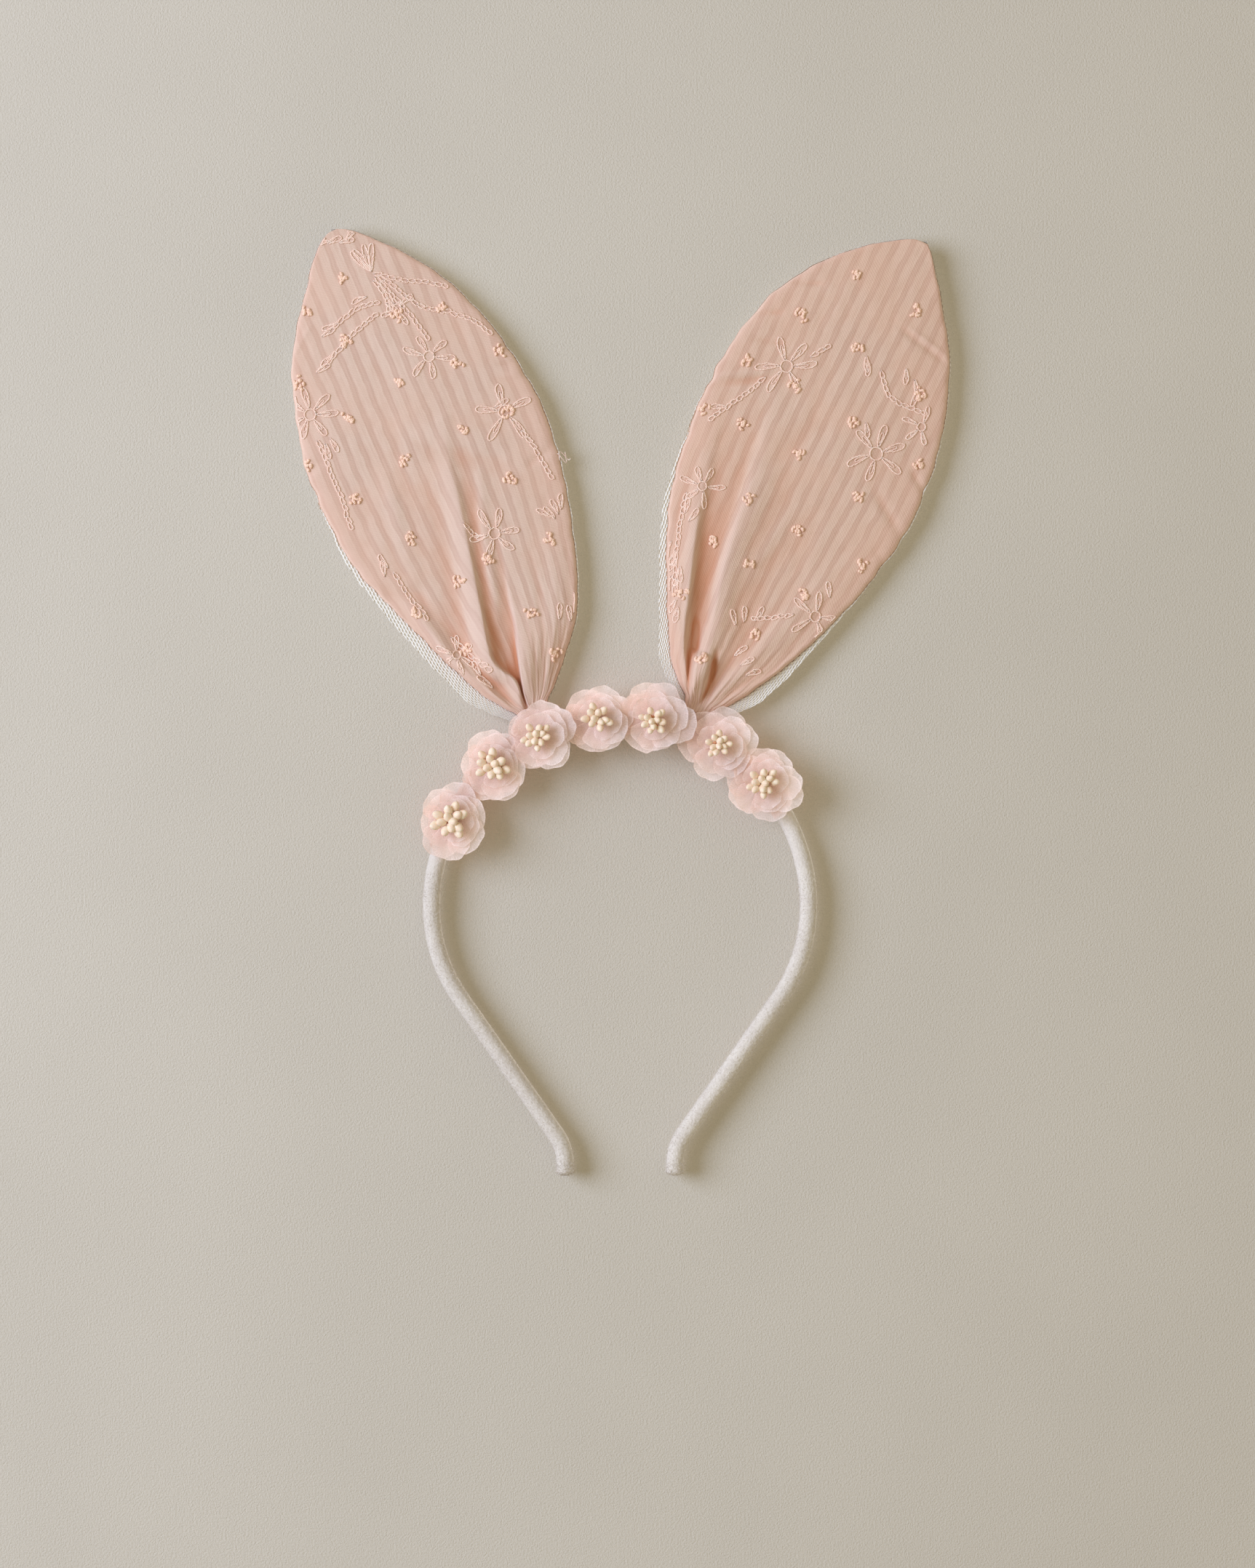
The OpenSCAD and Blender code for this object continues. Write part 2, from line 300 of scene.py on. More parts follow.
def cotton_material():
    stripe_pitch, warp_pitch, weft_pitch = 4.7, 0.42, 0.36
    s = Shader("striped_cotton")
    x, y, both = cloth_coordinates(s)
    wobble = s.math("MULTIPLY_ADD", s.noise(both, 0.12), 1.6, -0.8)
    phase = s.math("FRACT", s.math("DIVIDE", s.plus(x, wobble), stripe_pitch))
    ramp = s.node("ValToRGB", {0: phase})
    ramp.color_ramp.interpolation = "B_SPLINE"
    marks = [(0.0, 0.8), (0.09, 0.12), (0.17, 0.5), (0.27, 0.42), (0.36, 0.05), (0.46, 0.9), (0.6, 1.0),
             (0.78, 0.85), (0.92, 1.0)]
    while len(ramp.color_ramp.elements) < len(marks):
        ramp.color_ramp.elements.new(0.5)
    for element, (where, level) in zip(ramp.color_ramp.elements, marks):
        element.position = where
        element.color = (level, level, level, 1)
    stripe = ramp.outputs[0]
    warp = s.sine(s.times(x, tau / warp_pitch))
    weft = s.sine(s.times(y, tau / weft_pitch))
    weave = s.times(warp, weft)
    twill = s.sine(s.math("MULTIPLY_ADD", y, tau / 0.9, s.times(x, tau / 1.3)))
    slub = s.noise(s.stretch(both, (1.6, 0.12, 1.0)), 1.0, 4.0)
    cloud = s.noise(both, 0.045, 2.0)
    rim = s.attribute("rim")
    colour = s.mix(stripe, rgb(215, 178, 159), rgb(240, 212, 194))
    colour = s.mix(s.span(slub, 0.35, 0.75, 0.0, 0.3), colour, rgb(221, 184, 165))
    colour = s.mix(s.span(cloud, 0.35, 0.7, 0.0, 0.4), colour, rgb(238, 199, 176))
    colour = s.mix(s.attribute("tone"), colour, (0.998, 0.958, 0.918), "MULTIPLY")
    # Peach towards the side edges. At the very edge a lighter colour gives a pale edge line, and is painted
    # light on the shaded edge wall.
    colour = s.tint(colour, rim, 0.5, rgb(238, 190, 166))
    colour = s.mix(s.span(rim, 0.8, 1.0, 0.0, 0.8), colour, rgb(255, 228, 210))
    # Painted shade: the hollows between folds are tinted darker orange.
    colour = s.tint(colour, s.attribute("crease_shade"), 0.85, rgb(214, 140, 98))
    # Painted highlight: the ridges of the folds are tinted lighter pink.
    colour = s.tint(colour, s.attribute("crest"), 0.5, rgb(241, 212, 198))
    height = s.plus(s.times(weave, 0.25), s.times(slub, 0.8))
    height = s.plus(height, s.times(twill, 0.12))
    height = s.plus(height, s.times(stripe, 0.45))
    normal = s.bump(height, 0.00025, 0.5)
    cloth = s.surface(colour, normal, 0.85, 0.25, 0.15, {"Sheen Roughness": 0.4})
    return s.finish(s.blend(0.12, cloth, s.through(colour, normal)))


def knit_material():
    column_pitch, row_pitch = 0.9, 1.5
    s = Shader("mesh_knit")
    x, y, both = cloth_coordinates(s)
    row = s.times(y, tau / row_pitch)
    column = s.times(x, tau / column_pitch)
    cells = s.sine(column)
    for slant in (0.5, -0.5):
        cells = s.plus(cells, s.sine(s.math("MULTIPLY_ADD", column, slant, row)))
    hole = s.span(cells, 0.6, 1.7)
    # Painted shade: the holes are darker, for the shade that shows through them. They are also slightly
    # see-through.
    colour = s.mix(hole, rgb(250, 245, 235), rgb(226, 217, 204))
    colour = s.mix(s.span(s.noise(both, 0.08), 0.3, 0.7, 0.0, 0.25), colour, rgb(236, 228, 216))
    normal = s.bump(s.math("SUBTRACT", 0.0, cells), 0.00018, 0.7)
    cloth = s.surface(colour, normal, 0.75, 0.3, 0.2)
    return s.finish(s.blend(s.times(hole, 0.12), cloth, s.clear()))


def thread_material(name, light, dark):
    s = Shader(name)
    x, y, _ = cloth_coordinates(s)
    twist = s.sine(s.math("MULTIPLY_ADD", y, tau / 0.5, s.times(x, tau / 100)))
    colour = s.mix(s.span(s.noise(s.place(), 900.0), 0.3, 0.7), dark, light)
    colour = s.tint(colour, s.attribute("shade"), 0.6, dark)
    return s.finish(s.surface(colour, s.bump(twist, 0.00006, 0.8), 0.65, 0.1, 0.2))


def velvet_material():
    s = Shader("velvet")
    where = s.place()
    pile = s.noise(where, 1500.0, 3.0, 0.65)
    nap = s.noise(where, 160.0)
    colour = s.mix(s.span(nap, 0.35, 0.65), rgb(223, 214, 204), rgb(230, 222, 212))
    # Painted shade: the band's left half is darker, as if turned away from the light.
    colour = s.tint(colour, s.attribute("painted_left_shade"), 0.2, rgb(186, 174, 163))
    colour = s.mix(s.span(pile, 0.35, 0.6, 0.22, 0.0), colour, rgb(180, 168, 156))
    return s.finish(s.surface(colour, s.bump(pile, 0.0004, 0.6), 0.9, 0.4, 0.1, {"Sheen Roughness": 0.35}))


def chiffon_material(name, pink, peach, cover):
    """uv is (angle share, radius share) on a petal. warm leans the colour from pink to peach."""
    s = Shader(name)
    uv = s.node("UVMap").outputs[0]
    radius = s.node("SeparateXYZ", {0: uv}).outputs[1]
    thread = s.noise(s.stretch(uv, (150.0, 5.0, 1.0)), 1.0, 3.0, 0.6)
    where = s.place()
    grain = s.noise(where, 2200.0, 2.0)
    cloud = s.noise(where, 220.0, 2.0)
    rim = s.span(radius, 0.9, 0.97)
    fray = s.times(s.span(thread, 0.42, 0.6), s.span(radius, 0.55, 0.95))
    colour = s.mix(s.attribute("warm"), pink, peach)
    colour = s.mix(s.span(cloud, 0.3, 0.7, 0.0, 0.35), colour, peach)
    colour = s.tint(colour, fray, 0.3, rgb(252, 242, 240))
    density = s.math("MULTIPLY_ADD", rim, 0.14, cover)
    density = s.plus(density, s.times(fray, 0.16))
    density = s.plus(density, s.math("MULTIPLY_ADD", grain, 0.3, -0.15))
    normal = s.bump(s.plus(thread, grain), 0.00012, 0.5)
    cloth = s.blend(0.33, s.surface(colour, normal, 0.7, 0.3, 0.2), s.through(colour, normal))
    return s.finish(s.blend(density, s.clear(), cloth))


def stamen_material():
    s = Shader("stamen_cream")
    where = s.place()
    colour = s.mix(s.span(s.noise(where, 700.0), 0.3, 0.7), rgb(250, 230, 208), rgb(242, 216, 188))
    colour = s.mix(s.attribute("shade"), colour, rgb(226, 158, 104))
    normal = s.bump(s.noise(where, 5200.0, 2.0), 0.00008, 0.5)
    return s.finish(s.surface(colour, normal, 0.5, 0.0, 0.35,
                              {"Subsurface Weight": 0.15, "Subsurface Scale": 0.001}))


def plain_fibre_material(name, light, dark, grain):
    s = Shader(name)
    fibre = s.noise(s.place(), grain, 5.0, 0.7)
    colour = s.mix(s.span(fibre, 0.3, 0.7), dark, light)
    return s.finish(s.surface(colour, s.bump(fibre, 0.0002, 0.7), 0.85, 0.3, 0.15))


def wire_material():
    s = Shader("bound_wire")
    wound = s.noise(s.place(), 1800.0, 4.0)
    colour = s.mix(s.span(wound, 0.3, 0.7), rgb(150, 150, 155), rgb(205, 203, 200))
    return s.finish(s.surface(colour, s.bump(wound, 0.00008, 0.5), 0.4, 0.0, 0.5, {"Metallic": 0.85}))


cotton = cotton_material()
knit = knit_material()
embroidery_thread = thread_material("embroidery_thread", rgb(255, 230, 214), rgb(250, 212, 192))
tuft_thread = thread_material("tuft_thread", rgb(254, 221, 198), rgb(250, 208, 183))
velvet = velvet_material()
petal_cloth = chiffon_material("petal_chiffon", rgb(253, 239, 235), rgb(254, 229, 216), 0.57)
ribbon_cloth = chiffon_material("ribbon_chiffon", rgb(243, 205, 184), rgb(243, 196, 168), 0.85)
cream = stamen_material()
felt = plain_fibre_material("felt", rgb(244, 214, 200), rgb(234, 196, 180), 1500.0)
core_plastic = plain_fibre_material("band_core", rgb(228, 226, 222), rgb(206, 203, 198), 400.0)
interlining = plain_fibre_material("interlining", rgb(236, 234, 230), rgb(214, 211, 206), 900.0)
wire = wire_material()
tie_thread = thread_material("tie_thread", rgb(240, 222, 210), rgb(226, 196, 180))

# ---------------------------------------------------------------- band

# Sizes in mm. Angles are in degrees from the top of the crown.
CROWN_R, SHOULDER_R, CENTRE_Z = 60.0, 51.0, -57.3
SHOULDER_X = CROWN_R - SHOULDER_R
ARM_ANGLE, ARM_LENGTH = 125, 53
TIP_R, TIP_TURN, TIP_LENGTH = 16, 33, 3.1
BAND_T, BAND_W = 5.4, 7.0
SPACING = 0.5


def arc(cx, cz, r, degrees):
    return [(cx + r * sin(a), cz + r * cos(a), a) for a in np.radians(degrees)]


def straight(start, lengths):
    x, z, a = start
    return [(x + d * cos(a), z - d * sin(a), a) for d in lengths]


def half_band():
    """Points and outward angles, in mm, from the top of the crown down the right arm."""
    points = arc(0, CENTRE_Z, CROWN_R, np.arange(0, 90, 0.5))
    points += arc(SHOULDER_X, CENTRE_Z, SHOULDER_R, np.arange(90, ARM_ANGLE, 0.5))
    knee, = arc(SHOULDER_X, CENTRE_Z, SHOULDER_R, [ARM_ANGLE])
    points += straight(knee, np.arange(0, ARM_LENGTH, SPACING))
    (x, z, a), = straight(knee, [ARM_LENGTH])
    cx, cz = x + TIP_R * sin(a), z + TIP_R * cos(a)
    points += arc(cx, cz, -TIP_R, ARM_ANGLE - np.arange(0, TIP_TURN, 1.5))
    toe, = arc(cx, cz, -TIP_R, [ARM_ANGLE - TIP_TURN])
    points += straight(toe, np.arange(0, TIP_LENGTH, SPACING))
    return np.array(points)


def stadium_ring(t, w, count):
    """(radial, y) round the band's section, starting at the middle of its inner face."""
    flat, turn = w - t, pi * t / 2
    total = 2 * (flat + turn)
    ring = []
    for d in np.arange(count) / count * total:
        if d < turn:
            a = d / (t / 2)
            ring.append((-t / 2 * cos(a), flat / 2 + t / 2 * sin(a)))
        elif d < turn + flat:
            ring.append((t / 2, flat / 2 - (d - turn)))
        elif d < 2 * turn + flat:
            a = (d - turn - flat) / (t / 2)
            ring.append((t / 2 * cos(a), -flat / 2 - t / 2 * sin(a)))
        else:
            ring.append((-t / 2, -flat / 2 + (d - 2 * turn - flat)))
    return np.array(ring)


band_path = half_band()


def swept(ring, path, mirror, scale=None, bulge=0.0):
    """Rows along the path, columns round the ring."""
    scale = np.ones(len(path)) if scale is None else scale
    size = np.linalg.norm(ring, axis=1)[None, :]
    radial = ring[None, :, 0] * scale[:, None] + bulge * ring[None, :, 0] / size
    y = ring[None, :, 1] * scale[:, None] + bulge * ring[None, :, 1] / size
    x = path[:, 0, None] + radial * np.sin(path[:, 2])[:, None]
    z = path[:, 1, None] + radial * np.cos(path[:, 2])[:, None]
    return np.stack([-x if mirror else x, np.broadcast_to(y, x.shape), z], -1)


def bend_with_arm(obj):
    """Bakes a piece of the band's placement into its mesh."""
    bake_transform(obj)


def velvet_hairs(rng, grid, outward, bare_rows):
    """Short pile standing off the surface, longer and looser at the cut end."""
    hairs, ragged = 9000, 700
    rows, cols = grid.shape[:2]
    row = np.concatenate([rng.integers(bare_rows, rows, hairs), rng.integers(rows - 12, rows, ragged)])
    col = rng.integers(0, cols - 1, hairs + ragged)
    long = np.concatenate([rng.uniform(0.25, 0.65, hairs), rng.uniform(0.4, 1.2, ragged)])[:, None]
    lean = unit(outward[row, col] + 0.6 * rng.normal(0, 1, (hairs + ragged, 3)))
    wide = 0.06 * unit(np.cross(lean, rng.normal(0, 1, lean.shape)))
    foot = grid[row, col]
    return np.stack([foot - wide, foot + wide, foot + lean * long], 1).reshape(-1, 3)


def make_velvet(side):
    """Half of the band's cover, closed over the tip, with its seam down the inner face."""
    mirror = side == "left"
    around = 64
    ring = stadium_ring(BAND_T, BAND_W, around)
    ring = np.concatenate([ring, ring[:1]])
    close = np.array([0.97, 0.9, 0.78, 0.6, 0.4, 0.2])
    k = np.arange(len(close))
    path = np.concatenate([band_path, straight(band_path[-1], 0.35 * (k + 1) * (1 - 0.07 * k))])
    tip = np.concatenate([np.ones(len(band_path)), close])
    rng = np.random.default_rng(11 if mirror else 12)
    fuzz = rng.normal(0, 0.05, (len(path), around + 1))
    fuzz[:, -1] = fuzz[:, 0]
    rows = np.arange(len(path))[:, None] * SPACING
    cols = np.arange(around + 1)[None, :] / around
    soft = 0.03 * waves(rows / 30, cols * 2, 5 if mirror else 6)
    grid = swept(ring, path, mirror, tip, fuzz + soft)
    outward = swept(ring, path, mirror, tip, 1.0) - swept(ring, path, mirror, tip)
    blades = velvet_hairs(rng, grid, outward, 160)
    verts = np.concatenate([grid.reshape(-1, 3), blades])
    faces = grid_faces(len(path), around + 1)
    faces += (np.arange(len(blades)).reshape(-1, 3) + grid.shape[0] * grid.shape[1]).tolist()
    # The left half gets the painted shade, the right half none.
    cover = mesh_object(side + "_velvet_cover", verts, faces, None,
                        {"painted_left_shade": np.full(len(verts), float(mirror))}, velvet)
    bend_with_arm(cover)
    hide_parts(side + "_arm_cover", side + "_tip_seal", "crown_cover")


def make_core(side):
    """The springy strip inside the velvet."""
    sides = 20
    grid = swept(stadium_ring(2.4, 4.4, sides), band_path, side == "left")
    faces = grid_faces(len(band_path), sides, wrap=True) + end_caps(len(band_path), sides)
    strip = mesh_object(side + "_band_core", grid, faces, material=core_plastic)
    bend_with_arm(strip)
    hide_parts(side + "_arm_core", "crown_core")


for side in ("left", "right"):
    make_velvet(side)
    make_core(side)


def make_ribbon():
    """One strip wound round the crown, each turn lapping the last."""
    turns, width, rows_per_turn, around = 24, 10.5, 44, 200
    first_angle, sweep = -69.5, 126
    rows = turns * rows_per_turn
    t = np.linspace(0, 1, rows)[:, None]
    ring = stadium_ring(BAND_T + 0.5, BAND_W + 0.5, around)
    section = ring[(t[:, 0] * turns % 1 * around).astype(int) % around]
    across = np.linspace(-0.5, 0.5, 9)[None, :]
    crinkle = waves(t * 60, across * 1.2, 21)
    lift = 0.2 + 0.5 * (across + 0.5) + 0.3 * crinkle
    lift = lift + 0.9 * np.maximum(waves(t * 33, 0 * across, 22), 0)
    swell = 1 + lift / np.linalg.norm(section, axis=1)[:, None]
    r = CROWN_R + section[:, None, 0] * swell
    y = section[:, None, 1] * swell
    a = np.radians(first_angle + t * sweep + 0.35 * crinkle) + across * width / CROWN_R
    grid = np.stack([r * np.sin(a), y, CENTRE_Z + r * np.cos(a)], -1)
    uv = np.stack(np.broadcast_arrays(t * 6, 0.5 + 0.48 * np.abs(2 * across)), -1)
    obj = mesh_object("garland_ribbon_wrap", grid, grid_faces(rows, 9), uv,
                      {"warm": np.clip(0.5 + 0.4 * crinkle, 0, 1)}, ribbon_cloth)
    attach(obj, "crown", "chiffon", "garland_ribbon")


make_ribbon()

# ---------------------------------------------------------------- flowers

FLOWERS = [
    # degrees on the crown, lift, petals' reach to the left, right, up and down, turn, pips, their size
    (-63, 0, (9.3, 11.0, 13.0, 14.2), 10, 13, 1.2),
    (-42, 0, (10.2, 10.6, 11.8, 12.2), 45, 12, 1.12),
    (-26, 1, (8.6, 13.4, 11.6, 11.2), 75, 12, 0.97),
    (-7, 0, (11.6, 12.4, 10.4, 10.6), 20, 11, 0.97),
    (10, 1, (12.8, 14.0, 12.4, 9.5), 55, 12, 0.93),
    (31, 0, (12.6, 12.6, 12.4, 11.4), 5, 12, 0.88),
    (49, 1, (11.5, 14.2, 11.2, 13.0), 40, 13, 1.03),
]
LAYERS = [
    # petals, share of the reach, its spread, width, tilt, distance forward, first and whole angle, name, node
    (6, 1.0, (0.95, 1.03), 12.6, 0.03, 5.0, None, 360, "under_petals", "outer_petals"),
    (5, 0.86, (0.86, 1.06), 11.6, 0.08, 5.8, None, 360, "middle_petals", None),
    (4, 0.64, (0.86, 1.06), 8.8, 0.22, 6.5, -120, 250, "top_petals", "inner_petals"),
]


def petal(rng, cx, cz, direction, reach, width, tilt, base_y):
    """A round cupped petal from the flower's middle. Returns its grid, uv and warmth."""
    rings, spokes = 12, 40
    r = np.linspace(0.0, 1, rings)[:, None] ** 0.8
    a = circle(spokes)[None, :]
    edge = 1 + 0.03 * np.sin(5 * a + rng.uniform(0, 6)) + 0.02 * np.sin(9 * a + rng.uniform(0, 6))
    edge = edge + rng.normal(0, 0.006, (1, spokes))
    along = reach * (0.5 + 0.5 * r * np.cos(a) * edge)
    side = width / 2 * r * np.sin(a) * edge * (0.55 + 0.45 * step(along / reach, 0.0, 0.55))
    share = np.maximum(along / reach, 0)
    ruffle = 0.35 * np.sin(3 * a + rng.uniform(0, 6)) * r**3
    ruffle = ruffle + 0.22 * np.sin(7 * a + rng.uniform(0, 6)) * r**4
    pinch = 0.5 * np.exp(-(side / 0.9) ** 2) * (1 - share)
    out = base_y + tilt * share**1.5 * reach + ruffle + pinch + 0.3 * (side / (width / 2)) ** 2
    x = cx + along * cos(direction) - side * sin(direction)
    z = cz + along * sin(direction) + side * cos(direction)
    uv = np.stack(np.broadcast_arrays(a / tau + rng.uniform(0, 3), r + 0 * a), -1)
    # Peach towards the flower's left, and a painted peach glow of shade towards its middle, where the petals
    # lie in layers.
    warm = np.clip(0.4 - 0.07 * (x - cx) + 0.5 * (1 - share) ** 2, 0, 1)
    return np.stack([x, -out, z], -1), uv, warm


def make_petals(rng, name, cx, cz, lift, reaches, turn):
    to_left, to_right, to_up, to_down = reaches
    for layer, (count, share, near, wide, tilt, forward, first, whole, piece, node) in enumerate(LAYERS):
        bag, area = Bag(), 0.0
        first = turn if first is None else first
        for k in range(count):
            direction = radians(first + whole * (k + 0.5 * layer) / count + rng.uniform(-14, 14))
            c, s = cos(direction), sin(direction)
            to_edge = 1 / hypot(c / (to_right if c > 0 else to_left), s / (to_up if s > 0 else to_down))
            reach = to_edge * share * rng.uniform(*near)
            width = wide * rng.uniform(0.95, 1.08)
            slope = tilt * rng.uniform(0.8, 1.2) + 0.05 * c
            grid, uv, warm = petal(rng, cx, cz, direction, reach, width, slope,
                                   forward + lift + 0.14 * k + 0.07 * c * reach)
            bag.add(grid, grid_faces(*grid.shape[:2], wrap=True), warm.ravel(), uv)
            area += pi / 4 * reach * width * 0.93
        obj = bag.build(name + piece, petal_cloth, "warm")
        attach(obj, "crown", "chiffon", *([name + node] if node else []))


def make_disc(rng, name, cx, cz, lift):
    """The felt disc behind the petals, on its blob of glue."""
    rings, spokes, thickness = 10, 60, 0.8
    r = np.linspace(0, 1, rings)[:, None]
    a = circle(spokes)[None, :]
    edge = 4 + 0.08 * rng.normal(0, 1, (1, spokes))
    y = -(5.1 + lift) + 0.05 * rng.normal(0, 1, (rings, spokes))
    front = np.stack([cx + r * edge * np.cos(a), y, cz + r * edge * np.sin(a)], -1)
    back = front - thickness * FRONT
    bag = Bag()
    bag.add(np.concatenate([front, back[::-1]]), grid_faces(2 * rings, spokes, wrap=True))
    bag.tube([(cx, -(4.4 + lift), cz), (cx, -3.9, cz)], 1.5, sides=16)
    disc = bag.build(name + "backing_disc", felt)
    attach(disc, "crown", "felt", name + "backing")


def make_stamens(rng, name, cx, cz, lift, index, count, size):
    """Threads from a knot, each with an egg-shaped pip."""
    bag = Bag()
    knot_y = -(7.2 + lift)
    golden_turn = 2.39996
    u = np.linspace(0, pi, 14)[:, None]
    v = circle(18)[None, :]
    bag.tube([(cx, knot_y + 0.6, cz), (cx, knot_y - 0.3, cz)], 1.6, sides=20, value=0.9)
    for k in range(count):
        ang = k * golden_turn + rng.uniform(-0.25, 0.25) + index
        way = np.array([cos(ang), 0, sin(ang)])
        ring_r = size * (4.2 * sqrt((k + 0.35) / (count - 0.3)) + rng.uniform(-0.2, 0.2))
        height = 3.6 + 1.3 * (1 - (ring_r / 4.2) ** 2) + rng.uniform(-0.25, 0.25)
        knot = np.array([cx, knot_y, cz])
        root = knot + 0.5 * way
        tip = knot + ring_r * way + height * FRONT
        t = np.linspace(0, 1, 7)[:, None]
        bag.tube(root + (tip - root) * t + way * 0.5 * np.sin(pi * t), 0.2, sides=6, value=1.0)
        lean = unit(way * (0.25 + 0.22 * ring_r) + FRONT)
        side = unit(np.cross(lean, [0, 0, 1]))
        up = np.cross(side, lean)
        pip = size * rng.uniform(1.32, 1.52)
        dent = 1 + 0.03 * rng.normal(0, 1, (14, 18))
        wide = 0.84 * pip * np.sin(u) * (1 + 0.12 * np.cos(u)) * dent
        point = (tip - (np.cos(u) * 1.22 * pip)[..., None] * lean
                 + (wide * np.cos(v))[..., None] * side + (wide * np.sin(v))[..., None] * up)
        base = np.broadcast_to(step(np.cos(u), 0.55, 1.0) * 0.5, (14, 18))
        bag.add(point, grid_faces(14, 18, wrap=True), base.ravel())
    attach(bag.build(name + "stamen_cluster", cream), "crown", "stamen", name + "stamens")


for index, (deg, lift, reaches, turn, pips, size) in enumerate(FLOWERS):
    rng = np.random.default_rng(100 + index)
    name = "flower_%d_" % (index + 1)
    cx, cz = CROWN_R * sin(radians(deg)), CENTRE_Z + CROWN_R * cos(radians(deg))
    make_petals(rng, name, cx, cz, lift, reaches, turn)
    make_disc(rng, name, cx, cz, lift)
    make_stamens(rng, name, cx, cz, lift, index, pips, size)

# ---------------------------------------------------------------- ears


class Ear:
    """An ear's own coordinates: u across to the right, v along from the hinge, out to the front."""

    def __init__(self, side, lean, notches):
        self.side, self.notches = side, notches
        self.base = np.array(joints[side + "_ear_tilt"]["pos_m"]) / MM
        a = radians(lean)
        self.across = np.array([cos(a), 0, -sin(a)])
        self.along = np.array([sin(a), 0, cos(a)])
        node = frame["nodes"][side + "_ear_front"]
        co = np.array([v.co for v in node.data.vertices]) / MM
        co = co[co[:, 1] > co[:, 1].max() - 0.05] - self.base
        u, v = co @ self.across, co @ self.along
        self.top = float(v.max())
        self.left_edge = self.sorted_edge(u, v, u < 0)
        self.right_edge = self.sorted_edge(u, v, u > 0)

    @staticmethod
    def sorted_edge(u, v, keep):
        order = np.argsort(v[keep])
        return v[keep][order], u[keep][order]

    def edges(self, v, extra_left=0.0, extra_right=0.0):
        narrow = 0.55 + 0.45 * step(v, -2.0, 7.0)
        left = np.interp(v, *self.left_edge) * narrow
        right = np.interp(v, *self.right_edge) * narrow
        wander = 0.28 * np.sin(0.31 * v + self.base[0]) * np.sin(0.117 * v + 2) + 0.12 * np.sin(0.9 * v)
        left, right = left + wander, right + wander * np.cos(0.2 * v)
        for on_left, where, depth, size in self.notches:
            dip = depth * np.exp(-(((v - where) / size) ** 2))
            left, right = left + dip * on_left, right - dip * (1 - on_left)
        return left - extra_left, right + extra_right

    def world(self, u, v, out):
        u, v, out = np.broadcast_arrays(u, v, out)
        return self.base + u[..., None] * self.across + v[..., None] * self.along + out[..., None] * FRONT


# Folds of each ear: crest points (along, across, height), how far it falls away to the left and right, roll
LEFT_FOLDS = [
    ([(2, -3.2, 0.4), (7.8, -3.1, 2.4), (13.4, -3.0, 3.9), (18, -5.8, 4.3), (22, -7.2, 4.4),
      (26.2, -6.8, 4.2), (36.7, -4.7, 3.1), (56, -0.5, 2.1), (75.5, 3.5, 1.3), (85, 5.1, 0.8),
      (104, 10.2, 0.0)], 4.2, 2.5, 1.2),
    ([(1, -0.6, 0.6), (12.9, 1.6, 3.9), (19.2, 3.4, 3.9), (28.6, 6.0, 1.8), (39.7, 8.2, 0.7),
      (51.2, 10.9, 0.3), (66, 13.5, 0.0)], 1.2, 10.5, -0.9),
    ([(2, -4.6, 0.3), (7.5, -7.4, 1.4), (16.5, -12.1, 2.2), (27.8, -17.2, 2.2), (43.8, -21.8, 1.2),
      (60, -26, 0.0)], 2.6, 2.8, 0.0),
    ([(4, 4.6, 0.5), (14, 11.0, 1.1), (26, 17.5, 0.9), (44, 25.0, 0.4), (60, 29.0, 0.0)], 4.5, 3.5, 0.0),
    ([(30, 0.5, 0.0), (40, 2.6, 0.7), (58, 7.0, 0.7), (84, 15.0, 0.0)], 2.0, 2.0, 0.0),
    ([(50, -18.0, 0.0), (70, -17.5, 0.5), (96, -14.0, 0.0)], 3.0, 3.0, 0.0),
]
RIGHT_FOLDS = [
    ([(2.4, -4.2, 0.4), (8, -7.8, 1.9), (19.9, -14.6, 2.9), (32.8, -19.4, 3.0), (45.8, -24.0, 2.6),
      (58.9, -28.1, 1.8), (74, -32, 0.8), (92, -36, 0.0)], 4.2, 2.2, 0.5),
    ([(18.6, -5.6, 1.2), (26.8, -7.1, 2.4), (37.5, -10.0, 2.6), (51.2, -13.0, 2.2), (65.4, -14.8, 1.6),
      (82.8, -17.9, 0.8), (108, -22, 0.0)], 2.6, 6.5, 0.0),
    ([(1, -2.4, 1.2), (4, -4.0, 1.8), (9, -4.6, 2.2), (14, -4.6, 2.0), (20, -5.0, 1.0), (26, -5.4, 0.0)],
     5.2, 4.6, 0.0),
    ([(3, 2.2, 0.9), (12.2, 4.4, 1.7), (20, 7.2, 1.7), (33.4, 11.5, 1.1), (50, 16.5, 0.5), (70, 20.0, 0.0)],
     3.2, 6.0, 0.0),
    ([(4, 4.6, 0.5), (14, 11.4, 1.1), (24, 18.2, 0.9), (40, 25.5, 0.4), (54, 29.0, 0.0)], 3.0, 3.6, 0.0),
    ([(40, -4.0, 0.0), (56, -3.0, 0.55), (80, 1.0, 0.0)], 3.0, 3.0, 0.0),
]
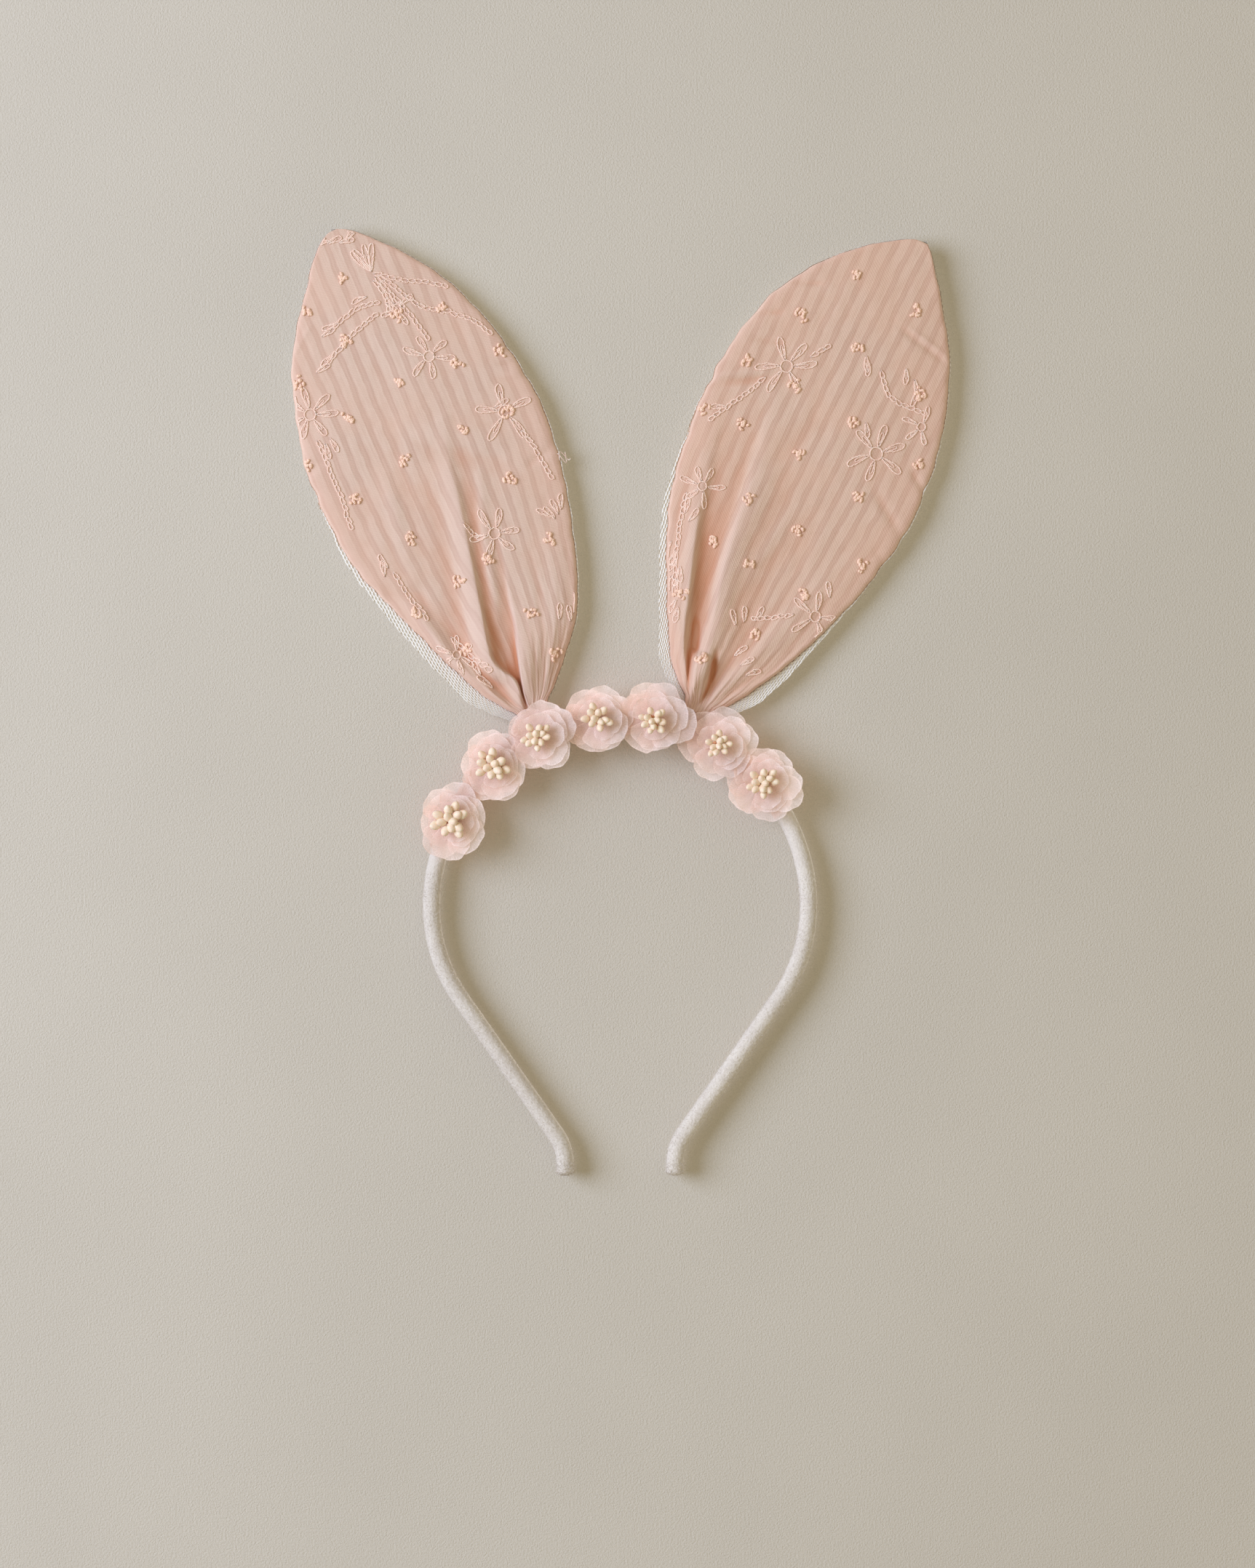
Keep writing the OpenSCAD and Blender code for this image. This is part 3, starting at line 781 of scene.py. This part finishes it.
# Dents and puckers: middle (across, along), direction, height, half width, half length
LEFT_DENTS = [
    (-27, 78, 0.3, 0.95, -0.3, 4, 14), (12, 84, 0.85, -0.5, -0.6, 4, 14), (10, 92, 0.85, -0.5, 0.4, 3.5, 13),
    (-24, 52, 0.85, -0.5, -0.6, 2.6, 7), (-25, 57, 0.85, -0.5, 0.3, 2.2, 7),
    (36, 107, 0.95, -0.3, -0.4, 1, 4), (37, 103, 0.95, -0.3, 0.3, 1, 4), (33, 76, 0.95, 0.2, -0.35, 1.3, 5),
    (-36, 100, 0.95, 0.3, -0.35, 1.5, 5), (-24, 138, 0.8, 0.6, 0.16, 1, 8),
]
RIGHT_DENTS = [
    (14, 137, 0.98, -0.18, -0.55, 1.2, 9), (14.5, 138.6, 0.98, -0.18, 0.35, 1, 8),
    (27, 84, 0.75, -0.5, -0.5, 1.5, 7), (-30, 117, 0.9, 0.2, -0.35, 1.2, 6),
    (-28, 139, 0.94, 0.33, -0.55, 1.1, 5), (-35, 125, 0.9, 0.4, -0.45, 1, 4),
    (-34, 101, 0.86, 0.5, -0.6, 1.8, 9), (-34, 104, 0.86, 0.5, 0.4, 1.5, 9),
    (32, 97, 0.9, -0.5, -0.55, 1.2, 5), (-12, 88, 0.5, 0.86, -0.3, 4, 16), (2, 96, 0.9, 0.3, 0.3, 5, 18),
    (33, 70, 0.9, -0.3, -0.4, 1.4, 5), (-10.3, 21, -0.4, 0.9, -1.8, 1.2, 6),
    (-1.6, 16.5, -0.3, 0.95, -1, 1, 5),
]


class Cloth:
    """The shape of one ear's front."""

    def __init__(self, ear, folds, dents, seed, bunch=None):
        self.ear, self.folds, self.dents, self.seed, self.bunch = ear, folds, dents, seed, bunch

    def fold(self, u, v, points, fall_left, fall_right):
        """One fold's height, its share of a full crest and the distance from its crest."""
        begin, end = points[0][0], points[-1][0]
        inside = step(v, begin - 2, begin + 1) * (1 - step(v, end - 6, end))
        high = np.maximum(hermite(v, points, 2), 0) * inside
        d = u - hermite(v, points)
        width = np.where(d < 0, fall_left, fall_right) * (0.45 + 0.55 * step(v, 4, 30))
        return high * np.exp(-(d / width) ** 2), np.minimum(high / 3, 1), d

    def height(self, u, v):
        left, right = self.ear.edges(v)
        s = np.clip((u - left) / np.maximum(right - left, 0.1) * 2 - 1, -1, 1)
        out = 1.75 + 0.9 * (1 - s**2) * step(v, 20, 90) * (1 - step(v, 140, 167)) + 0 * u
        shift = np.zeros_like(out)
        for points, fall_left, fall_right, roll in self.folds:
            rise, share, d = self.fold(u, v, points, fall_left, fall_right)
            out = out + rise
            shift = shift + roll * share * np.exp(-(d / 1.6) ** 2)
        if self.bunch:
            at, half = self.bunch
            narrow = half * (0.55 + 0.45 * step(v, 2, 12))
            finger = np.exp(-((u - at + 0.28 * v) / narrow) ** 6)
            out = out + 2.9 * finger * step(v, 2, 8) * (1 - step(v, 16.5, 19.3))
        fine = sum(size * np.sin(tau * (count * s + slant * v + phase * self.seed))
                   for count, slant, size, phase in ((4.3, 0.012, 0.5, 1), (7.7, -0.02, 0.35, 2.1),
                                                     (13.1, 0.015, 0.2, 0.7)))
        out = out + fine * 0.16 * (1 - step(v, 8, 80)) ** 1.6 * step(v, -1, 6)
        seed = int(10 * self.seed)
        out = out + 0.25 * waves(u / 34, v / 70, 40 + seed) * step(v, 20, 60)
        out = out + 0.05 * waves(u / 6, v / 30, 60 + seed) + 0.07 * waves(u / 10, v / 9, 90 + seed)
        for at_u, at_v, du, dv, depth, half_width, half_length in self.dents:
            along = (u - at_u) * du + (v - at_v) * dv
            cross = (u - at_u) * dv - (v - at_v) * du
            out = out + depth * np.exp(-(cross / half_width) ** 2 - (along / half_length) ** 4)
        edge = np.clip(1 - np.abs(s) ** 36, 0, 1) ** 0.5
        edge = edge * np.sqrt(1 - 0.99 * np.clip((v - self.ear.top) / 0.7 + 1, 0, 1) ** 2)
        out = np.maximum(out, 1.25 + 1.5 * (1 - step(v, 0, 7)))
        return out * (0.12 + 0.88 * edge), shift

    def on(self, u, v, lift=0.0):
        """Points in the row frame, in mm, on the cloth or lift above it."""
        left, right = self.ear.edges(v)
        u = np.clip(u, left + 0.9, right - 0.9)
        v = np.minimum(v, self.ear.top - 0.7)
        out, shift = self.height(u, v)
        return self.ear.world(u + shift, v, out + lift)


# Notches in the outline: on the left edge or not, how far along, depth, half length
left_ear = Ear("left", -22.7, [(0, 103, 0.6, 3.0), (0, 112, 0.4, 2.0), (1, 57, 0.5, 3.0), (1, 92, 0.4, 3.0)])
right_ear = Ear("right", 26.0, [(1, 98, 0.8, 2.5), (1, 124, 0.4, 2.0), (0, 95, 0.6, 3.0), (0, 68, 0.5, 4.0)])
left_cloth = Cloth(left_ear, LEFT_FOLDS, LEFT_DENTS, 0.3)
right_cloth = Cloth(right_ear, RIGHT_FOLDS, RIGHT_DENTS, 0.65, (-1.3, 3.4))


def ear_grid(rows, cols, top, low):
    t = np.linspace(0, 1, rows)
    v = low + (top - low) * np.sin(t * pi / 2) ** 1.15
    x = np.linspace(-1, 1, cols)
    s = np.sign(x) * (1 - (1 - np.abs(x)) ** 1.35)
    return s[None, :], v[:, None]


def between(s, left, right):
    return left + (right - left) * (s + 1) / 2


def ungathered(s, v, left, right):
    """Where a point lies across the flat cloth, which is wider than the gathered base."""
    half = np.maximum((right - left) / 2, 22 + 17 * np.sin(np.clip(v / 85, 0, 1) * pi / 2))
    return (left + right) / 2 + s * half


def blurred(field, size):
    out = field.copy()
    for _ in range(3):
        pad = np.pad(out, ((0, 0), (size, size)), mode="edge")
        total = np.cumsum(np.pad(pad, ((0, 0), (1, 0))), axis=1)
        out = (total[:, 2 * size + 1:] - total[:, :-2 * size - 1]) / (2 * size + 1)
    return out


def make_front(cloth):
    ear = cloth.ear
    s, v = ear_grid(330, 190, ear.top, 0.6)
    left, right = ear.edges(v)
    u = between(s, left, right)
    vv = np.broadcast_to(v, u.shape)
    out, shift = cloth.height(u, vv)
    parallel = step(v, 60, 100)
    cloth_u = ungathered(s, v, left, right) * (1 - parallel) + u * parallel
    # Painted shade in the hollows between folds.
    shades = {"crease_shade": np.clip(blurred(out, 9) - out, 0, 1),
              # Painted highlight on the ridges of the folds.
              "crest": np.clip((out - blurred(out, 7)) / 0.8, 0, 1),
              # Side edges: peach, with a painted highlight at the very edge.
              "rim": np.broadcast_to(np.abs(s) ** 7, u.shape), "tone": 0 * u + (ear.side == "right")}
    obj = mesh_object(ear.side + "_ear_cotton", ear.world(u + shift, vv, out), grid_faces(*u.shape),
                      np.stack([cloth_u / 100, vv / 100], -1), shades, cotton)
    attach(obj, ear.side + "_ear", "cotton", ear.side + "_ear_front")


def make_back(cloth, left_margin, right_margin):
    """The mesh: flat behind the cotton, and raised past its edges."""
    ear = cloth.ear
    s, v = ear_grid(240, 130, ear.top + 0.7, 0.6)
    below_top = np.minimum(v, ear.top - 0.05)
    left, right = ear.edges(below_top, hermite(v, left_margin), hermite(v, right_margin))
    close = 1 - step(v, ear.top - 0.6, ear.top + 0.7) * 0.8
    u = between(s, left * close, right * close)
    vv = np.broadcast_to(v, u.shape)
    gather = 1 - step(vv, 6, 60)
    fine = np.sin(tau * (5.3 * s + 0.01 * v)) * 0.5 + np.sin(tau * (9.1 * s - 0.015 * v)) * 0.4
    out = -1.75 + 0.25 * waves(u / 22, vv / 50, 71) - fine * (0.05 + 0.55 * gather**2)
    out = out + 1.15 * (1 - step(vv, 0, 5))
    front_left, front_right = ear.edges(below_top)
    beyond = np.maximum(np.maximum(front_left - u, u - front_right), vv - ear.top)
    out = out - out * step(beyond, -2.5, 0.1)
    out = out + 0.35 * step(beyond, -0.1, 0.2) + 0.25 * waves(u / 9, vv / 7, 73) * step(beyond, 0.3, 3)
    uv = np.stack([ungathered(s, v, left, right) / 100, vv / 100], -1)
    obj = mesh_object(ear.side + "_ear_knit", ear.world(u, vv, out), grid_faces(*u.shape), uv, {}, knit)
    attach(obj, ear.side + "_ear", "knit", ear.side + "_ear_back")


def make_interlining(cloth):
    ear = cloth.ear
    s, v = ear_grid(60, 30, ear.top - 4.5, 12)
    u = between(s, *ear.edges(v, -4.4, -4.4))
    vv = np.broadcast_to(v, u.shape)
    obj = mesh_object(ear.side + "_ear_interlining", ear.world(u, vv, 0.25 * waves(u / 20, vv / 20, 81)),
                      grid_faces(*u.shape), None, {}, interlining)
    attach(obj, ear.side + "_ear", "stiffener", ear.side + "_ear_stiffener")


def make_roll(ear):
    """The gathered cloth at the base, bound with thread, on the wire that holds it to the band."""
    rows, cols = 60, 48
    bound_at, thread_turns = 4.2, 6
    axis = np.array(joints[ear.side + "_ear_tilt"]["axis"])
    up = np.cross(axis, [0, 1, 0])
    x = np.linspace(-6.5, 6.5, rows)[:, None]
    a = circle(cols)[None, :]
    pleat = 0.16 * np.sin(9 * a + 0.6 * x) + 0.12 * np.sin(tau * x / 1.7) + 0.1 * np.sin(14 * a - 0.9 * x)
    bind = -0.35 * np.exp(-((np.abs(x) - bound_at) / 0.9) ** 2)
    r = (2.05 + pleat + bind) * np.clip(1.0 - (np.abs(x) / 6.55) ** 10, 0.28, 1)
    point = (ear.base + x[..., None] * axis + (r * np.cos(a))[..., None] * FRONT
             + (r * np.sin(a))[..., None] * up)
    uv = np.stack(np.broadcast_arrays(x / 100, a * 2.2 / 100), -1)
    # Painted shade in the hollows of the pleats.
    shades = {"crease_shade": np.clip(-pleat * 2, 0, 1), "crest": 0 * r, "rim": 0 * r, "tone": 0 * r}
    roll = mesh_object(ear.side + "_ear_gathered_base", point, grid_faces(rows, cols, wrap=True), uv, shades,
                       cotton)
    attach(roll, ear.side + "_ear", "cotton", ear.side + "_ear_roll")
    bag = Bag()
    for where in (-bound_at, bound_at):
        t = np.linspace(0, 1, 260)[:, None]
        turn = tau * thread_turns * t
        bag.tube(ear.base + (where - 0.9 + 1.8 * t) * axis + 1.95 * np.cos(turn) * FRONT
                 + 1.95 * np.sin(turn) * up, 0.16)
    attach(bag.build(ear.side + "_ear_thread_binding", embroidery_thread), ear.side + "_ear", "cotton")


# How far the mesh shows past the cotton: (along, width) on the left edge, then on the right edge
MARGINS = {
    "left": ([(-2, 1), (4, 4), (10, 5.2), (25, 4.6), (43, 3.8), (60, 2.1), (75, 1.2), (88, 0.45),
              (170, 0.45)],
             [(-2, 0.5), (20, 0.6), (60, 0.5), (110, 0.35), (170, 0.3)]),
    "right": ([(-2, 1), (5, 4.6), (10, 4.6), (20, 3.4), (40, 2.6), (55, 2.1), (70, 1.1), (88, 0.4),
               (170, 0.4)],
              [(-2, 1), (4, 3.4), (10, 4.8), (20, 4.0), (35, 1.8), (50, 0.7), (90, 0.5), (170, 0.4)]),
}
for cloth in (left_cloth, right_cloth):
    make_front(cloth)
    make_back(cloth, *MARGINS[cloth.ear.side])
    make_interlining(cloth)
    make_roll(cloth.ear)

# ---------------------------------------------------------------- embroidery


class Needle:
    """Raised stitches on one ear, placed by (across, along) in mm."""

    def __init__(self, cloth, seed):
        self.cloth, self.rng = cloth, np.random.default_rng(seed)
        self.threads, self.tufts = Bag(), Bag()

    def line(self, pts, r=0.25):
        """A closed thread through the points."""
        pts = np.concatenate([pts, pts[:1]])
        total = distances(pts)
        n = max(4, int(total[-1] / 0.4))
        d = np.linspace(0, total[-1], n + 1)[:-1]
        u = np.interp(d, total, pts[:, 0]) + self.rng.normal(0, 0.05, n)
        v = np.interp(d, total, pts[:, 1]) + self.rng.normal(0, 0.05, n)
        radius = r * (1 + 0.18 * np.sin(np.arange(n) * 2.1))
        self.threads.tube(self.cloth.on(u, v, 0.1), radius, closed=True, value=self.rng.uniform(0, 0.6))

    def loop(self, root, direction, length, width, inner=True):
        a = circle(26)
        bend = self.rng.uniform(-0.18, 0.18)
        for scale in (1.0, 0.5) if inner else (1.0,):
            along = length * (0.5 - 0.5 * np.cos(a)) * scale + length * (1 - scale) * 0.3
            side = width / 2 * np.sin(a) * (0.35 + 0.65 * (along / length)) * scale
            side = side + bend * length * (along / length) ** 2
            c, s = cos(direction), sin(direction)
            self.line(np.stack([root[0] + along * c - side * s, root[1] + along * s + side * c], -1),
                      0.25 if scale == 1 else 0.2)

    def daisy(self, u, v, size, count=6, turn=0.0, missing=()):
        ring = 0.24 * size
        a = circle(18)
        self.line(np.stack([u + ring * np.cos(a), v + ring * np.sin(a)], -1), 0.27)
        for k in range(count):
            if k not in missing:
                d = turn + tau * k / count + self.rng.uniform(-0.16, 0.16)
                root = (u + ring * 1.1 * cos(d), v + ring * 1.1 * sin(d))
                self.loop(root, d, size * self.rng.uniform(0.75, 1.0), size * 0.34)

    def chain(self, *pts):
        pts = np.asarray(pts, float)
        total = distances(pts)
        n = max(2, int(total[-1] / 2.1))
        for k in range(n):
            d = total[-1] * np.minimum([k, k + 1.12], n) / n
            (u0, u1), (v0, v1) = (np.interp(d, total, pts[:, i]) for i in (0, 1))
            self.loop((u0, v0), atan2(v1 - v0, u1 - u0), hypot(u1 - u0, v1 - v0) + 0.3, 1.7, inner=False)

    def leaf(self, u, v, direction, length=5.0, width=2.0):
        self.loop((u, v), radians(direction), length, width)

    def tuft(self, u, v):
        """A knot of short curls."""
        rng = self.rng
        t = np.linspace(0, 1, 8)
        for _ in range(11):
            start = rng.uniform(0, tau)
            cu, cv = u + rng.uniform(-1.3, 1.3), v + rng.uniform(-1.4, 1.4)
            a = start + rng.uniform(1.2, 2.6) * t
            r = rng.uniform(0.6, 1.1)
            lift = 0.05 + 0.25 * np.sin(pi * t) * rng.uniform(0.5, 1.1)
            self.tufts.tube(self.cloth.on(cu + r * np.cos(a) * 0.8, cv + r * np.sin(a), lift),
                            0.5 * (1 - 0.5 * np.abs(2 * t - 1) ** 3), sides=8, value=rng.uniform(0, 0.6))

    def sew(self, work):
        stitches = {"tuft": self.tuft, "daisy": self.daisy, "leaf": self.leaf, "chain": self.chain}
        for kind, places in work:
            for place in places:
                stitches[kind](*place)
        side = self.cloth.ear.side
        for bag, name, material in ((self.threads, "_ear_embroidery", embroidery_thread),
                                    (self.tufts, "_ear_tufts", tuft_thread)):
            attach(bag.build(side + name, material), side + "_ear", "cotton")


Needle(left_cloth, 7).sew([
    ("tuft", [(-3, 152.5), (-17.5, 147), (-9.5, 133.7), (8.5, 135), (-29, 127), (-18.3, 111), (1.6, 115),
              (23, 132), (34.5, 112), (20.4, 113.6), (29, 93.7), (14, 93), (-6.8, 91), (-36, 101.5),
              (-26.3, 86), (21.5, 73), (-15, 68), (5.8, 52.4), (26.3, 50.4), (-5.6, 49), (-22, 45.5),
              (11.5, 30.7), (-12.4, 28.2), (13.8, 16)]),
    ("daisy", [(-29, 116.5, 7.5, 7, 0.4), (28.5, 93.5, 8.5, 5, 0.2), (10.5, 59, 7.5, 6, 0.9),
               (13, 119, 7.0, 6, 0.5), (9.5, 137, 5.5, 4, 0.3)]),
    ("leaf", [(6.5, 151, d, 9, 2.2) for d in (70, 88, 104, 120)]),
    ("leaf", [(-2, 165, 160), (-3, 164.5, 10), (0.5, 163.5, -10), (3, 163, 40), (-16, 138, 10),
              (-10, 140, -170), (-22, 128, 15), (-15, 131, 190), (2, 144, 170), (7, 140, -60),
              (-26, 107, -80), (-28, 106, -100),
              (30, 56, 105), (31.5, 57, 88), (33, 58, 72), (29, 57, 122), (-25, 62, 110), (-27, 60, 75),
              (22, 24, 70), (26, 96, 10)]),
    ("chain", [((7, 150), (14, 145), (22, 141), (27, 137.5)),
               ((8, 149), (17, 134), (24, 130), (31, 124), (34, 118)),
               ((7, 149), (13, 133), (15, 124)), ((6, 148), (8, 142), (7, 137)),
               ((-12, 139), (-2, 142), (5, 141)), ((-18, 129), (-9, 134), (3, 138)),
               ((-30, 108), (-30, 98), (-30, 88), (-31, 78)), ((31, 86), (33, 78), (34, 68)),
               ((2, 66), (5, 60)), ((-24, 60), (-22, 50), (-19.5, 42)), ((-15, 34), (-12, 27), (-8, 19))]),
    ("daisy", [(-15.5, 28, 5.5, 6, 0.3)]),
    ("leaf", [(-9, 14, 115, 6), (-11, 19, 100, 5), (31, 26, 80, 6), (19, 26, 60, 5)]),
])
Needle(right_cloth, 8).sew([
    ("tuft", [(-15, 148.3), (-25.3, 128.6), (6.8, 145.7), (-4.7, 127), (-34.8, 108.5), (-17.3, 108),
              (-40.5, 88),
              (-27, 89.6), (4.8, 105.2), (19.6, 122.3), (-7, 88.6), (16, 85), (29.3, 102.5), (-14.6, 68.6),
              (4, 67.4), (-19.2, 51.6), (-5.8, 50.5), (27, 65.3), (14.4, 48.8), (-21.4, 32.5), (5.2, 31),
              (-6, 17)]),
    ("daisy", [(-22.5, 112, 8.0, 6, 0.35), (15.3, 99.5, 8.5, 6, 0.75), (-30, 66, 6.0, 6, 0.2),
               (20.6, 44.5, 7.0, 5, 0.4), (24.5, 113.5, 5.5, 5, 0.4, (0,))]),
    ("chain", [((-27, 106), (-30, 99), (-34, 92), (-37, 86)), ((5, 124), (10, 118), (17, 117), (24, 118)),
               ((-33.5, 62), (-31, 52), (-27.5, 42), (-24, 34)), ((14, 42), (8, 38), (3, 35)),
               ((-17, 118), (-13, 124))]),
    ("leaf", [(-1, 126, -70), (0, 125, -60), (12, 128, -60), (16, 126, -50), (18, 123, -70), (-31, 46, -100),
              (-28.5, 44, -80), (-27, 42, -95), (-29, 54, 75), (-31, 56, 100), (-25, 40, -70), (-20, 28, -75),
              (-21.5, 30, -95), (-24, 36, -80), (-26, 36, -110), (1, 33, 110), (4, 35, 80), (-1, 31, 130),
              (3, 22, 70), (6, 20, 60), (9, 18, 50), (8, 107, -50), (22, 52, 120), (-34, 92, 200)]),
])

# A loose thread at the left ear's right edge
tail = Bag()
t = np.linspace(0, 1, 24)
edge_u = left_ear.edges(np.full(1, 75.0))[1][0]
for k, reach in enumerate((3.4, 2.6)):
    tail.tube(left_ear.world(edge_u - 0.5 + reach * t, 72.5 + 2.2 * np.sin(5.2 * t + 1.3 * k) + 1.4 * t,
                             0.6 + 0.5 * np.sin(7 * t)), 0.17)
attach(tail.build("left_ear_loose_thread", tie_thread), "left_ear", "knit")

for side in ("left", "right"):
    for part, material in (("_ear_wire", wire), ("_ear_tie", tie_thread)):
        materials = frame["nodes"][side + part].data.materials
        materials.clear()
        materials.append(material)

# ---------------------------------------------------------------- stage


def paper_material():
    s = Shader("paper")
    where = s.place()
    grain = s.noise(where, 1500.0, 4.0, 0.62)
    pores = s.noise(where, 2900.0, 2.0)
    colour = s.mix(s.span(s.noise(where, 9.0, 2.0), 0.3, 0.7), rgb(211, 203, 189), rgb(207, 199, 185))
    colour = s.mix(s.span(grain, 0.35, 0.65, 0.0, 0.25), colour, rgb(200, 192, 180))
    normal = s.bump(s.math("MULTIPLY_ADD", pores, 0.4, grain), 0.0007, 0.6)
    face = s.surface(colour, normal, 0.95, 0.0, 0.0)
    return s.finish(s.blend(s.node("NewGeometry").outputs["Backfacing"], face, s.clear()))


# The surface lies close behind the object, and gives way to an ear that tips back.
NEAR, FAR, HALF = 0.005, 0.156, 1600
surface = mesh_object("surface", [(-HALF, 0, -HALF), (HALF, 0, -HALF), (HALF, 0, HALF), (-HALF, 0, HALF)],
                      [(0, 1, 2, 3)], material=paper_material(), smooth=False)
surface.location.y = NEAR
surface.visible_shadow = False
for side in ("left", "right"):
    follower = bpy.data.objects.new(side + "_ear_follower", None)
    base = Vector(joints[side + "_ear_tilt"]["pos_m"])
    follower.location = base + Vector((0, 0.003 - base.y, 0.172))
    scene.collection.objects.link(follower)
    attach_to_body(follower, side + "_ear")
    follow = surface.constraints.new("COPY_LOCATION")
    follow.target = follower
    follow.use_x = follow.use_z = False
    follow.use_offset = side == "right"
stop = surface.constraints.new("LIMIT_LOCATION")
stop.use_min_y = stop.use_max_y = True
stop.min_y, stop.max_y = NEAR, FAR


def area_light(name, place, target, size, power, colour):
    data = bpy.data.lights.new(name, "AREA")
    data.shape = "DISK"
    data.size = size
    data.energy = power
    data.color = colour
    o = bpy.data.objects.new(name, data)
    o.location = place
    o.rotation_euler = (Vector(target) - Vector(place)).to_track_quat("-Z", "Y").to_euler()
    scene.collection.objects.link(o)


area_light("key", (-1.22, -1.06, 0.24), (0, 0, -0.03), 1.2, 21.3, (0.88, 1.01, 1.34))
area_light("back_key", (0.9, 1.5, 0.6), (0, 0, -0.02), 1.2, 24, (1.0, 0.99, 0.97))
world = bpy.data.worlds.new("world")
world.use_nodes = True
background = world.node_tree.nodes["Background"]
background.inputs[0].default_value = (0.525, 0.475, 0.35, 1)
background.inputs[1].default_value = 1.0
scene.world = world
